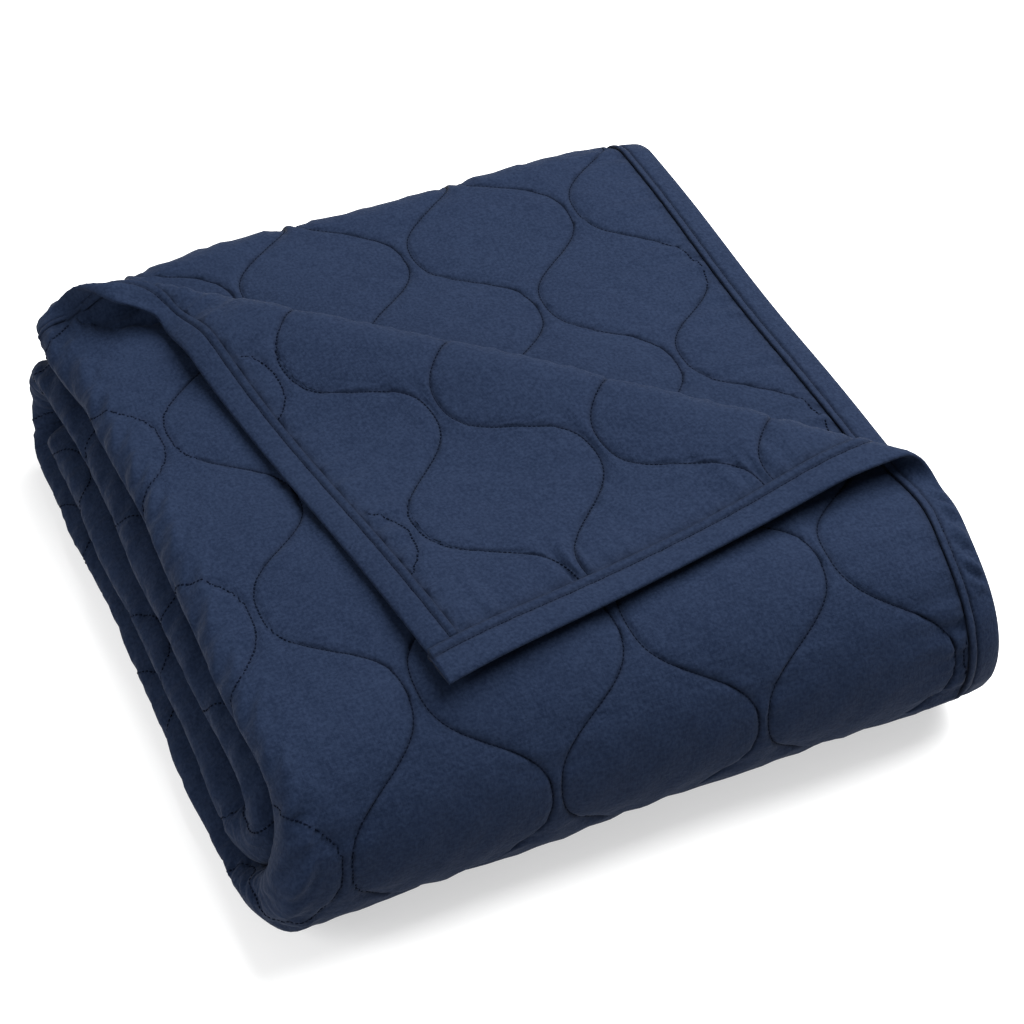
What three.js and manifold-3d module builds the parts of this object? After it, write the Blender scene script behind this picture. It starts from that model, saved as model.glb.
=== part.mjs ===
// Quilted bedspread, folded in quarters lengthwise, rolled into four layers, with one corner turned back.
// Millimetres, +Z up. The rounded front faces -Y, the folded edges are on -X and the bound edges on +X.
import * as THREE from 'three';
import Module from 'manifold-3d';

const wasm = await Module();
wasm.setup();

// Stack
const WIDTH = 570; // left folds to the outside of the right bindings
const PLY_PITCH = 10.5; // from the middle of one ply to the next
const PLY_HALF = 4.75; // half of a ply's thickness
const FRONT_Y = -216; // where the runs enter the front folds
const RUN = 436; // length of the two long inner runs
const NOSE = 1.155; // how far the front folds are drawn out of round
const INNER_SHORT = 17; // the roll's inner end, short of the long runs
const RIGHT_TUCK = 18; // the inner right fold, in from the outside of the bindings
const LAYER = 4 * PLY_PITCH;
const OUTER_PLY = 1.5 * PLY_PITCH; // outermost ply above the middle of its layer
const LOWEST_LEVEL = PLY_HALF + OUTER_PLY;

// Binding
const BINDING_WIDTH = 25;
const BINDING_HALF = 4.6;
const BINDING_LIP = 2; // beyond the cloth's edge
const BINDING_EDGE_HALF = 2.4; // at the rounded outside
const BINDING_SHOULDER = 0.7; // where the rounding ends, beyond the cloth's edge
const BAND = 32; // cloth pressed thin under and beside the binding
const BAND_RAMP = 5;
const BAND_HALF = 2.5;
const CLEARANCE = 0.3; // between the cloth and what is sewn on it

// Quilting: wavy lines along the length, each the mirror of its neighbour
const LINE_PITCH = 80;
const WAVE = 187;
const SWING = 35;
const DITCH = 3; // stitched line below the plain face
const CROWN = 1.5; // middle of a puff above it
const PUFF_REACH = 30; // from a stitched line to the level part of a puff
const LINE_STEPS = 3; // columns from one line to the next
const QUILT_FADE = 60; // length over which the puffs grow above the floor

// Turned-back corner
const LANDING = new THREE.Vector2(-124, -31); // where the corner lies, across and along the outer ply
const END_V = 474; // bound end of the outer ply, from the front shoulder along it
const ROLL_LEFT = 6.6;
const ROLL_RIGHT = 15;
const FLAP_REST = 13; // turned ply above the ply it lies on
const FLAP_SETTLE = 60;
const CORNER_LIFT = 6;
const CORNER_REACH = 80;
const TONGUE = 8; // overlap of the turned corner with the flat ply
const TONGUE_INSET = 0.6;
const FLAP_FADE = 30; // length of roll over which the puffs grow
const TIP_LENGTH = 54; // ends of the fold line, where the edges cross the roll
const TIP_ROWS = 10;
const FLAP_ROWS = 8; // from a tip to the corner
const ROLL_STEPS = 8;
const FLAP_STEPS = 6;

// Rows and columns of the faces
const ROW_GAP = 1; // least distance between rows
const COLUMN_GAP = 3; // least distance between columns
const BENT_STEPS = 4; // across a binding where it rounds a fold
const CURL_STEPS = 16; // along a binding through the turned corner's roll
const FLAP_EDGE_STEPS = 10; // along a binding on the turned corner

// The stack settles a little at its sides
const SIDE_SAG = 0.035;
const SIDE_POWER = 4;

// Runs and turns of the rolled panel, from its inner end to its loose end behind the top
const LEGS = [
  { name: 'second layer', run: RUN - INNER_SHORT, turn: 0, radius: 0, nose: 1, rows: 3, quilted: false },
  { name: 'front inner fold', run: 0, turn: 180, radius: LAYER / 2, nose: NOSE, rows: 6, quilted: false },
  { name: 'third layer', run: RUN, turn: 0, radius: 0, nose: 1, rows: 3, quilted: false },
  { name: 'back fold', run: 0, turn: 180, radius: LAYER, nose: 1, rows: 7, quilted: false },
  { name: 'bottom layer', run: RUN, turn: 0, radius: 0, nose: 1, rows: 4, quilted: false },
  { name: 'front fold', run: 0, turn: 180, radius: 1.5 * LAYER, nose: NOSE, rows: 12, quilted: true },
  { name: 'top layer', run: 484, turn: 0, radius: 0, nose: 1, rows: 20, quilted: true },
  { name: 'back edge', run: 0, turn: 86, radius: 35, nose: 1, rows: 5, quilted: true },
  { name: 'loose end', run: 20, turn: 0, radius: 0, nose: 1, rows: 1, quilted: true },
];

// Plies and folds across the panel, from the outer ply's bound edge to the second ply's
const EDGE_X = WIDTH / 2 - BINDING_LIP;
const LEFT_X = -WIDTH / 2 + OUTER_PLY + PLY_HALF;
const RIGHT_X = WIDTH / 2 - RIGHT_TUCK;
const SECTION = [
  { name: 'ply 1', run: EDGE_X - LEFT_X, turn: 0, radius: 0, steps: 2 },
  { name: 'outer left fold', run: 0, turn: 180, radius: OUTER_PLY, steps: 6 },
  { name: 'ply 4', run: RIGHT_X - LEFT_X, turn: 0, radius: 0, steps: 2 },
  { name: 'right fold', run: 0, turn: 180, radius: PLY_PITCH / 2, steps: 4 },
  { name: 'ply 3', run: RIGHT_X - LEFT_X, turn: 0, radius: 0, steps: 2 },
  { name: 'inner left fold', run: 0, turn: -180, radius: PLY_PITCH / 2, steps: 4 },
  { name: 'ply 2', run: EDGE_X - LEFT_X, turn: 0, radius: 0, steps: 2 },
];

// Where the wavy lines lie on the two plies that show: a line, and a place where it meets its neighbour
const QUILT_OUTER = { lineX: -272, neckV: -130 };
const QUILT_SECOND = { lineX: 143, neckV: 417 };

function layOutPath() {
  let y = FRONT_Y + LEGS[0].run;
  let z = LOWEST_LEVEL + LAYER;
  let heading = Math.PI;
  let length = 0;
  const legs = LEGS.map((row) => {
    const sweep = THREE.MathUtils.degToRad(row.turn);
    const leg = { ...row, y, z, heading, sweep, from: length };
    leg.length = row.run + sweep * (row.radius + OUTER_PLY) * (1 + row.nose) / 2;
    leg.centreY = y + row.radius * Math.sin(heading);
    leg.centreZ = z - row.radius * Math.cos(heading);
    heading -= sweep;
    y = row.turn === 0 ? y + row.run * Math.cos(heading) : leg.centreY - row.radius * Math.sin(heading);
    z = row.turn === 0 ? z + row.run * Math.sin(heading) : leg.centreZ + row.radius * Math.cos(heading);
    length += leg.length;
    return leg;
  });
  const shoulder = legs.find((leg) => leg.name === 'top layer').from;
  legs.forEach((leg) => {
    leg.from -= shoulder;
  });
  return legs;
}

const path = layOutPath();
const LAST_V = path.at(-1).from + path.at(-1).length;
const FRONT_V = path.find((leg) => leg.name === 'front fold').from;

// A point of the rolled panel: v along the outer ply from the front shoulder, n out from the layer's middle
function pathPoint(v, n) {
  const leg = path.findLast((row) => v >= row.from) ?? path[0];
  const part = (v - leg.from) / leg.length;
  const heading = leg.heading - part * leg.sweep;
  if (leg.turn === 0) {
    const gone = part * leg.run;
    return {
      y: leg.y + gone * Math.cos(heading) - n * Math.sin(heading),
      z: leg.z + gone * Math.sin(heading) + n * Math.cos(heading),
    };
  }
  const reach = leg.radius + n;
  return {
    y: leg.centreY - leg.nose * reach * Math.sin(heading),
    z: leg.centreZ + reach * Math.cos(heading),
  };
}

function layOutSection() {
  let x = EDGE_X;
  let n = OUTER_PLY;
  let heading = Math.PI;
  let length = 0;
  return SECTION.map((row) => {
    const sweep = THREE.MathUtils.degToRad(row.turn);
    const bend = Math.sign(sweep) * row.radius;
    const part = { ...row, x, n, heading, sweep, bend, from: length };
    part.length = row.run + Math.abs(sweep) * row.radius;
    part.centreX = x - bend * Math.sin(heading);
    part.centreN = n + bend * Math.cos(heading);
    heading += sweep;
    x = row.turn === 0 ? x + row.run * Math.cos(heading) : part.centreX + bend * Math.sin(heading);
    n = row.turn === 0 ? n : part.centreN - bend * Math.cos(heading);
    length += part.length;
    return part;
  });
}

const section = layOutSection();
const [ply1, outerFold] = section;
const ply2 = section.at(-1);
const TOTAL_S = ply2.from + ply2.length;

// A point of the folded section: s across the cloth from the outer ply's bound edge, b out of its right side
function sectionPoint(s, b) {
  const part = section.findLast((row) => s >= row.from) ?? ply1;
  const share = (s - part.from) / part.length;
  const heading = part.heading + share * part.sweep;
  if (part.turn === 0) {
    return { x: part.x + share * part.run * Math.cos(heading), n: part.n - b * Math.cos(heading) };
  }
  const reach = part.bend + b;
  return { x: part.centreX + reach * Math.sin(heading), n: part.centreN - reach * Math.cos(heading) };
}

// Turned-back corner, as a roll about a fold line in the outer ply's own plane
const corner = new THREE.Vector2(EDGE_X, END_V);
const foldMiddle = corner.clone().lerp(LANDING, 0.5);
const outward = corner.clone().sub(LANDING).normalize();
const along = new THREE.Vector2(outward.y, -outward.x);
const cornerReach = corner.distanceTo(foldMiddle);
const foldLeft = -cornerReach * outward.y / outward.x;
const foldRight = cornerReach * outward.x / outward.y;
const ROLL_SLOPE = (ROLL_RIGHT - ROLL_LEFT) / (foldRight - foldLeft);
const ROLL_MIDDLE = ROLL_LEFT - ROLL_SLOPE * foldLeft;

function rollRadius(a) {
  return ROLL_MIDDLE + ROLL_SLOPE * a;
}

function flapHeight(a, d) {
  const radius = rollRadius(a);
  const past = (d - radius * Math.PI / 2) / FLAP_SETTLE;
  const toCorner = Math.hypot(a, d - cornerReach) / CORNER_REACH;
  return FLAP_REST + (2 * radius - FLAP_REST) * Math.exp(-past * past)
    + CORNER_LIFT * Math.exp(-toCorner * toCorner);
}

// Fold coordinates of a flat point: a along the fold line, d across it towards the corner
function toFold(x, v) {
  const offset = new THREE.Vector2(x, v).sub(foldMiddle);
  return { a: offset.dot(along), d: offset.dot(outward) };
}

function fromFold(a, d) {
  return foldMiddle.clone().addScaledVector(along, a).addScaledVector(outward, d);
}

function turnBack(x, v, b) {
  const { a, d } = toFold(x, v);
  const radius = rollRadius(a);
  const half = radius * Math.PI / 2;
  if (d <= -half) return { x, v, lift: b };
  if (d >= half) {
    const flat = fromFold(a, -d);
    return { x: flat.x, v: flat.y, lift: flapHeight(a, d) - b };
  }
  const angle = (d + half) / radius;
  const rolled = fromFold(a, (radius - b) * Math.sin(angle) - half);
  return { x: rolled.x, v: rolled.y, lift: radius - (radius - b) * Math.cos(angle) };
}

// Where the roll leaves the flat ply
function rollStartX(v) {
  const share = ROLL_SLOPE * Math.PI / 2;
  const rise = (outward.y + share * along.y) * (v - foldMiddle.y) + ROLL_MIDDLE * Math.PI / 2;
  return foldMiddle.x - rise / (outward.x + share * along.x);
}

function rollStartV(x) {
  const share = ROLL_SLOPE * Math.PI / 2;
  const rise = (outward.x + share * along.x) * (x - foldMiddle.x) + ROLL_MIDDLE * Math.PI / 2;
  return foldMiddle.y - rise / (outward.y + share * along.y);
}

const CURL_V = rollStartV(EDGE_X);

// Any point of the cloth, from its flat place and its height off the middle of the ply
function place(s, v, b) {
  let across = sectionPoint(s, b);
  let alongPly = v;
  if (s < outerFold.from) {
    const turned = turnBack(EDGE_X - s, v, b);
    across = { x: turned.x, n: OUTER_PLY + turned.lift };
    alongPly = turned.v;
  }
  const { y, z } = pathPoint(alongPly, across.n);
  const sag = 1 - SIDE_SAG * Math.abs(2 * across.x / WIDTH) ** SIDE_POWER;
  return new THREE.Vector3(across.x, y, Math.max(z, 0) * sag);
}

// Bound end: straight on the outer ply, slanting round the left fold, straight on the inner plies
const END_EDGE = [
  new THREE.Vector2(0, END_V),
  new THREE.Vector2(outerFold.from, END_V),
  new THREE.Vector2(outerFold.from + outerFold.length, LAST_V),
  new THREE.Vector2(TOTAL_S, LAST_V),
];

function edgeDistance(s, v) {
  const point = new THREE.Vector3(s, v, 0);
  const line = new THREE.Line3();
  const nearest = new THREE.Vector3();
  let distance = Math.min(s, TOTAL_S - s);
  for (let i = 0; i + 1 < END_EDGE.length; i += 1) {
    line.start.set(END_EDGE[i].x, END_EDGE[i].y, 0);
    line.end.set(END_EDGE[i + 1].x, END_EDGE[i + 1].y, 0);
    line.closestPointToPoint(point, true, nearest);
    distance = Math.min(distance, nearest.distanceTo(point));
  }
  return distance;
}

function plyHalf(s, v) {
  const share = THREE.MathUtils.clamp((edgeDistance(s, v) - BAND) / BAND_RAMP, 0, 1);
  return THREE.MathUtils.lerp(BAND_HALF, PLY_HALF, share);
}

function lineX(quilt, k, v) {
  const mirror = k % 2 === 0 ? 1 : -1;
  return quilt.lineX + k * LINE_PITCH + mirror * SWING * Math.cos(2 * Math.PI * (v - quilt.neckV) / WAVE);
}

function relief(quilt, x, v) {
  const slope = SWING * 2 * Math.PI / WAVE * Math.sin(2 * Math.PI * (v - quilt.neckV) / WAVE);
  const near = Math.floor((x - quilt.lineX) / LINE_PITCH);
  let distance = Infinity;
  for (let k = near - 1; k <= near + 2; k += 1) {
    distance = Math.min(distance, Math.abs(x - lineX(quilt, k, v)) / Math.hypot(1, slope));
  }
  const inward = 1 - Math.min(distance / PUFF_REACH, 1);
  const fade = THREE.MathUtils.smoothstep(v, FRONT_V, FRONT_V + QUILT_FADE);
  return fade * ((DITCH + CROWN) * Math.sqrt(1 - inward * inward) - DITCH);
}

// Columns that follow the wavy lines, as flat x with the even place that keeps rows in step
function quiltColumns(quilt, v, lowX, highX) {
  const columns = [];
  const first = Math.floor((lowX - quilt.lineX) / LINE_PITCH) - 1;
  const last = Math.ceil((highX - quilt.lineX) / LINE_PITCH) + 1;
  for (let k = first; k <= last; k += 1) {
    for (let step = 0; step < LINE_STEPS; step += 1) {
      const share = step / LINE_STEPS;
      const x = THREE.MathUtils.lerp(lineX(quilt, k, v), lineX(quilt, k + 1, v), share);
      const evenX = quilt.lineX + (k + share) * LINE_PITCH;
      const inside = Math.min(x, evenX) > lowX && Math.max(x, evenX) < highX;
      if (inside) columns.push({ x, evenX });
    }
  }
  return columns;
}

// Closed solid through rings of an upper and a lower row, each point with its even place u
function loft(rings) {
  const positions = [];
  const triangles = [];
  const store = (row) => row.map(({ point, u }) => {
    positions.push(point.x, point.y, point.z);
    return { index: positions.length / 3 - 1, u };
  });
  const bridge = (first, second, flip) => {
    let i = 0;
    let j = 0;
    while (i < first.length - 1 || j < second.length - 1) {
      const firstLeft = i < first.length - 1;
      const stepFirst = j === second.length - 1 || (firstLeft && first[i + 1].u <= second[j + 1].u);
      const third = stepFirst ? first[i + 1] : second[j + 1];
      const face = [first[i].index, second[j].index, third.index];
      triangles.push(...(flip ? face.reverse() : face));
      if (stepFirst) i += 1;
      else j += 1;
    }
  };
  const stored = rings.map((ring) => ({ upper: store(ring.upper), lower: store(ring.lower) }));
  for (let i = 0; i + 1 < stored.length; i += 1) {
    const near = stored[i];
    const far = stored[i + 1];
    bridge(near.upper, far.upper, false);
    bridge(near.lower, far.lower, true);
    bridge([near.lower[0], near.upper[0]], [far.lower[0], far.upper[0]], false);
    bridge([near.upper.at(-1), near.lower.at(-1)], [far.upper.at(-1), far.lower.at(-1)], false);
  }
  bridge(stored[0].lower, stored[0].upper, false);
  bridge(stored.at(-1).upper, stored.at(-1).lower, false);
  const build = (order) => new wasm.Manifold(new wasm.Mesh({
    numProp: 3,
    vertProperties: new Float32Array(positions),
    triVerts: new Uint32Array(order),
  }));
  const solid = build(triangles);
  return solid.volume() > 0 ? solid : build(triangles.reverse());
}

function steps(from, to, count) {
  return Array.from({ length: count + 1 }, (_, i) => THREE.MathUtils.lerp(from, to, i / count));
}

function ascending(values, gap) {
  const sorted = [...values].sort((p, q) => p - q);
  return sorted.filter((value, i) => i === 0 || value - sorted[i - 1] > gap);
}

const END_ROWS = [END_V, END_V + 2 * ROW_GAP, LAST_V]; // rows on the bound end

// Rows along the rolled panel, with a pair where the binding's band begins and where the outer ply ends
function panelRows() {
  const marks = [END_V, LAST_V].flatMap((end) => [end - BAND - BAND_RAMP, end - BAND]);
  const special = [CURL_V, ...marks, ...END_ROWS];
  const regular = path.flatMap((leg) => steps(leg.from, leg.from + leg.length, leg.rows));
  const clear = regular.filter((v) => special.every((mark) => Math.abs(v - mark) > COLUMN_GAP));
  return ascending([...clear, ...special], ROW_GAP);
}

// First cloth left in a row: the bound edge, the start of the roll, or the slanting end round the fold
function rowStart(v) {
  if (v <= CURL_V) return 0;
  if (v <= END_V) return EDGE_X - rollStartX(v);
  return outerFold.from + outerFold.length * (v - END_V) / (LAST_V - END_V);
}

function isQuilted(v) {
  return path.findLast((leg) => v >= leg.from - ROW_GAP)?.quilted ?? false;
}

function plainColumns(v, grow) {
  const start = rowStart(v);
  const bound = start === 0 || v > END_V;
  const slant = Math.hypot(outerFold.length, LAST_V - END_V) / (LAST_V - END_V);
  const scale = v > END_V ? slant : 1;
  const band = bound ? [start + BAND * scale, start + (BAND + BAND_RAMP) * scale] : [];
  const last = [TOTAL_S - BAND - BAND_RAMP, TOTAL_S - BAND, TOTAL_S + grow];
  const between = section.flatMap((part) => steps(part.from, part.from + part.length, part.steps));
  const marks = [start - grow, ...band, ...last];
  const clear = between.filter((s) => s > start && marks.every((mark) => Math.abs(s - mark) > COLUMN_GAP));
  return ascending([...marks, ...clear], ROW_GAP / 2);
}

function faceRow(v, grow, side, fine, quilt) {
  const fineLow = fine.length > 0 ? Math.min(...fine.map((column) => Math.min(column.s, column.u))) : 0;
  const fineHigh = fine.length > 0 ? Math.max(...fine.map((column) => Math.max(column.s, column.u))) : 0;
  const plain = plainColumns(v, grow)
    .filter((s) => s < fineLow - COLUMN_GAP || s > fineHigh + COLUMN_GAP || fine.length === 0)
    .map((s) => ({ s, u: s }));
  const columns = [...plain, ...fine].sort((p, q) => p.u - q.u);
  const rowV = END_ROWS.includes(v) ? v + grow : v;
  return columns.map(({ s, u }) => {
    const raised = fine.some((column) => column.s === s) ? relief(quilt.pattern, quilt.toX(s), v) : 0;
    return { point: place(s, rowV, side * (plyHalf(s, v) + raised + grow)), u };
  });
}

const outerQuilt = { pattern: QUILT_OUTER, toX: (s) => EDGE_X - s };
const secondQuilt = { pattern: QUILT_SECOND, toX: (s) => EDGE_X - (TOTAL_S - s) };

function fineColumns(quilt, v, lowX, highX, edgeS, direction) {
  if (!isQuilted(v)) return [];
  return quiltColumns(quilt, v, lowX + COLUMN_GAP, highX - COLUMN_GAP)
    .map(({ x, evenX }) => ({ s: edgeS + direction * (EDGE_X - x), u: edgeS + direction * (EDGE_X - evenX) }))
    .filter(({ s }) => edgeDistance(s, v) > BAND + BAND_RAMP);
}

function outerFine(v) {
  return v < END_V ? fineColumns(QUILT_OUTER, v, LEFT_X, EDGE_X - rowStart(v), 0, 1) : [];
}

function secondFine(v) {
  return v > CURL_V ? fineColumns(QUILT_SECOND, v, Math.max(rollStartX(v), LEFT_X), EDGE_X, TOTAL_S, -1) : [];
}

function rolledPanel(grow) {
  const rings = panelRows().map((v) => ({
    upper: faceRow(v, grow, 1, outerFine(v), outerQuilt),
    lower: faceRow(v, grow, -1, secondFine(v), secondQuilt),
  }));
  return loft(rings);
}

// The corner beyond the start of the roll, in rows square to the fold line
function turnedCorner(grow) {
  const reachAt = (a) => cornerReach * (1 - (a < 0 ? a / foldLeft : a / foldRight));
  const tip = COLUMN_GAP;
  const share = ROLL_SLOPE * Math.PI / 2;
  const startAt = (a) => -rollRadius(a) * Math.PI / 2;
  const leftTip = (tip - ROLL_MIDDLE * Math.PI / 2 - cornerReach) / (share - cornerReach / foldLeft);
  const rightTip = (cornerReach - tip + ROLL_MIDDLE * Math.PI / 2) / (cornerReach / foldRight - share);
  const rowsA = [
    leftTip - grow,
    ...steps(leftTip, leftTip + TIP_LENGTH, TIP_ROWS).slice(1),
    ...steps(leftTip + TIP_LENGTH, 0, FLAP_ROWS).slice(1),
    ...steps(0, rightTip - TIP_LENGTH, FLAP_ROWS).slice(1),
    ...steps(rightTip - TIP_LENGTH, rightTip, TIP_ROWS).slice(1, -1),
    rightTip + grow,
  ];
  const rings = rowsA.map((a) => {
    const start = startAt(a);
    const end = reachAt(a);
    const foldEnd = Math.abs(a < 0 ? foldLeft : foldRight);
    const edge = foldEnd / Math.hypot(foldEnd, cornerReach);
    const marks = [
      start - TONGUE,
      ...steps(start, -start, ROLL_STEPS),
      ...steps(-start, Math.max(end - (BAND + BAND_RAMP) / edge, -start), FLAP_STEPS).slice(1),
      end - BAND / edge,
    ];
    const rowD = [...ascending(marks, ROW_GAP).filter((d) => d < end - ROW_GAP), end + grow / edge];
    const face = (side) => rowD.map((d) => {
      const flat = fromFold(a, d);
      const s = EDGE_X - flat.x;
      const half = plyHalf(s, flat.y);
      const inset = d < start + ROW_GAP ? TONGUE_INSET : 0;
      const open = edgeDistance(s, flat.y) > BAND + BAND_RAMP / 2 && side < 0;
      const grown = THREE.MathUtils.smoothstep(d, start, start + FLAP_FADE);
      const raised = open ? grown * relief(QUILT_OUTER, flat.x, flat.y) : 0;
      return { point: place(s, flat.y, side * (half + raised + grow - inset)), u: d };
    });
    return { upper: face(1), lower: face(-1) };
  });
  return loft(rings);
}

// A bar along an edge of the cloth: each stop is a flat place with the flat direction into the cloth
function bindingBar(stops) {
  const rings = stops.map(({ s, v, inS, inV, bent }) => {
    const flat = steps(0, BINDING_WIDTH, bent ? BENT_STEPS : 1).slice(1);
    const profile = [
      { inward: -BINDING_LIP, half: BINDING_EDGE_HALF },
      ...[-BINDING_SHOULDER, ...flat].map((inward) => ({ inward, half: BINDING_HALF })),
    ];
    const face = (side) => profile.map(({ inward, half }) => ({
      point: place(s + inward * inS, v + inward * inV, side * half),
      u: inward,
    }));
    return { upper: face(1), lower: face(-1) };
  });
  return loft(rings);
}

function sideStops(s, inS, rows) {
  return rows.map((v) => ({ s, v, inS, inV: 0, bent: false }));
}

function outerSideBinding() {
  const low = toFold(EDGE_X, CURL_V).a;
  const rollLength = (rollRadius(low) * Math.PI + BAND * outward.x) / outward.y;
  const below = panelRows().filter((v) => v < CURL_V - ROW_GAP);
  const roll = steps(CURL_V, CURL_V + rollLength, CURL_STEPS);
  const flap = steps(CURL_V + rollLength, END_V + BINDING_LIP, FLAP_EDGE_STEPS).slice(1);
  return bindingBar(sideStops(0, 1, [...below, ...roll, ...flap]));
}

function secondSideBinding() {
  const rows = panelRows();
  return bindingBar(sideStops(TOTAL_S, -1, [...rows.slice(0, -1), LAST_V + BINDING_LIP]));
}

// The end binding, from the turned corner round the left fold and back and forth along the inner plies
function endBinding() {
  const butt = BINDING_WIDTH + CLEARANCE;
  const rollMiddle = EDGE_X - fromFold(foldLeft, 0).x;
  const rollReach = rollRadius(foldLeft) * Math.PI / outward.x / 2;
  const rollBegin = rollMiddle - rollReach - BAND * outward.y / outward.x;
  const flap = steps(butt, rollBegin, FLAP_EDGE_STEPS);
  const roll = steps(rollBegin, rollMiddle + rollReach, CURL_STEPS).slice(1);
  const folds = section.slice(1).flatMap((part) => steps(part.from, part.from + part.length, part.steps));
  const last = TOTAL_S - butt;
  const marks = ascending([...flap, ...roll, ...folds.filter((s) => s < last), last], ROW_GAP / 2);
  const slantAngle = Math.atan2(LAST_V - END_V, outerFold.length);
  const stops = marks.map((s) => {
    const share = THREE.MathUtils.clamp((s - outerFold.from) / outerFold.length, 0, 1);
    const slanting = share > 0 && share < 1;
    const mitred = s === outerFold.from || s === outerFold.from + outerFold.length;
    const mitre = mitred ? slantAngle / 2 : 0;
    const angle = slanting ? slantAngle : mitre;
    const stretch = 1 / Math.cos(mitre);
    return {
      s,
      v: THREE.MathUtils.lerp(END_V, LAST_V, share),
      inS: stretch * Math.sin(angle),
      inV: -stretch * Math.cos(angle),
      bent: slanting || mitred,
    };
  });
  return bindingBar(stops);
}

function toMesh(name, solid, material) {
  const { vertProperties, triVerts } = solid.getMesh();
  const geometry = new THREE.BufferGeometry();
  geometry.setAttribute('position', new THREE.BufferAttribute(vertProperties, 3));
  geometry.setIndex(new THREE.BufferAttribute(triVerts, 1));
  geometry.computeVertexNormals();
  const mesh = new THREE.Mesh(geometry, material);
  mesh.name = name;
  return mesh;
}

const clothMaterial = new THREE.MeshStandardMaterial({ color: 0x26365a, roughness: 0.92, metalness: 0 });
const bindingMaterial = new THREE.MeshStandardMaterial({ color: 0x223152, roughness: 0.9, metalness: 0 });

const cloth = rolledPanel(0).add(turnedCorner(0));
const clearance = rolledPanel(CLEARANCE).add(turnedCorner(CLEARANCE));

const bedspread = new THREE.Group();
bedspread.name = 'bedspread';
bedspread.add(toMesh('quilted_cloth', cloth, clothMaterial));
bedspread.add(toMesh('side_binding_outer', outerSideBinding().subtract(clearance), bindingMaterial));
bedspread.add(toMesh('side_binding_second', secondSideBinding().subtract(clearance), bindingMaterial));
bedspread.add(toMesh('end_binding', endBinding().subtract(clearance), bindingMaterial));

export default bedspread;
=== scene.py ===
import math

import bpy
import numpy as np
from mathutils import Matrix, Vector
from mathutils.bvhtree import BVHTree


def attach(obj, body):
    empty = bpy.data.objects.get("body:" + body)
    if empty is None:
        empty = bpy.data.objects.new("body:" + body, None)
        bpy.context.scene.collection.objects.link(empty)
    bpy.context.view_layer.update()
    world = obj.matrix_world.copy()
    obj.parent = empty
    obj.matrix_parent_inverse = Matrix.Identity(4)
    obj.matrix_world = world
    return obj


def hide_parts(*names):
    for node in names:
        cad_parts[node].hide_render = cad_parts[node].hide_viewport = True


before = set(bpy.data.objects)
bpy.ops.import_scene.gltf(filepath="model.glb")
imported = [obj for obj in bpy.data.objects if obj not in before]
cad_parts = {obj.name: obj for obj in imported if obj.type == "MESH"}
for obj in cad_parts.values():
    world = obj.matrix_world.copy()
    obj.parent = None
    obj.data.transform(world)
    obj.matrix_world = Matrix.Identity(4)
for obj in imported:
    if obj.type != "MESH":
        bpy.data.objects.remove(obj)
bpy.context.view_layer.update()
mm = 0.001  # the cloth is worked out in millimetres and stored in metres


# How the cloth is folded

stack = {
    "width": 570.0,  # left folds to the outside of the right bindings
    "plies": 4,  # in each layer of the roll
    "plyPitch": 10.5,
    "plyHalf": 4.75,
    "frontY": -216.0,  # where the runs enter the front folds
    "run": 436.0,
    "nose": 1.155,  # how far the front folds are drawn out of round
    "innerShort": 17.0,
    "rightTuck": 18.0,
    "topRun": 484.0,
    "backTurn": 86.0,
    "backRadius": 35.0,
    "looseEnd": 20.0,
    "bindingLip": 2.0,
    "sideSag": 0.035,  # share of the height that the sides lie lower
    "sidePower": 4,
}
halfWidth = stack["width"] / 2
layer = stack["plies"] * stack["plyPitch"]
outerPly = (stack["plies"] - 1) / 2 * stack["plyPitch"]
lowestLevel = stack["plyHalf"] + outerPly
edgeX = halfWidth - stack["bindingLip"]
leftX = -halfWidth + outerPly + stack["plyHalf"]
rightX = halfWidth - stack["rightTuck"]


def layOut(rows, p, q, outside):  # a bent line from p, q, with lengths measured on the outside of its turns
    legs, heading, length = [], math.pi, 0.0
    for name, run, turn, radius, nose in rows:
        sweep = math.radians(turn)
        bend = math.copysign(radius, sweep)
        leg = dict(name=name, run=run, bend=bend, nose=nose, sweep=sweep, heading=heading, start=length)
        leg["length"] = run + abs(sweep) * (radius + outside) * (1 + nose) / 2
        leg["centre"] = (p - bend * math.sin(heading), q + bend * math.cos(heading))
        heading += sweep
        p = leg["centre"][0] + bend * math.sin(heading) + run * math.cos(heading)
        q = leg["centre"][1] - bend * math.cos(heading) + run * math.sin(heading)
        length += leg["length"]
        legs.append(leg)
    return legs


def follow(legs, value, offset):  # places at lengths along such a line and offsets from it, and headings
    starts = [leg["start"] for leg in legs]
    index = np.clip(np.searchsorted(starts, value, side="right") - 1, 0, len(legs) - 1)
    p, q, headings = np.empty((3, len(value)))
    for i, leg in enumerate(legs):
        here = index == i
        share = (value[here] - leg["start"]) / leg["length"]
        heading = leg["heading"] + share * leg["sweep"]
        reach, gone = leg["bend"] + offset[here], share * leg["run"]
        p[here] = leg["centre"][0] + leg["nose"] * reach * np.sin(heading) + gone * np.cos(heading)
        q[here] = leg["centre"][1] - reach * np.cos(heading) + gone * np.sin(heading)
        headings[here] = heading
    return p, q, headings


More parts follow.
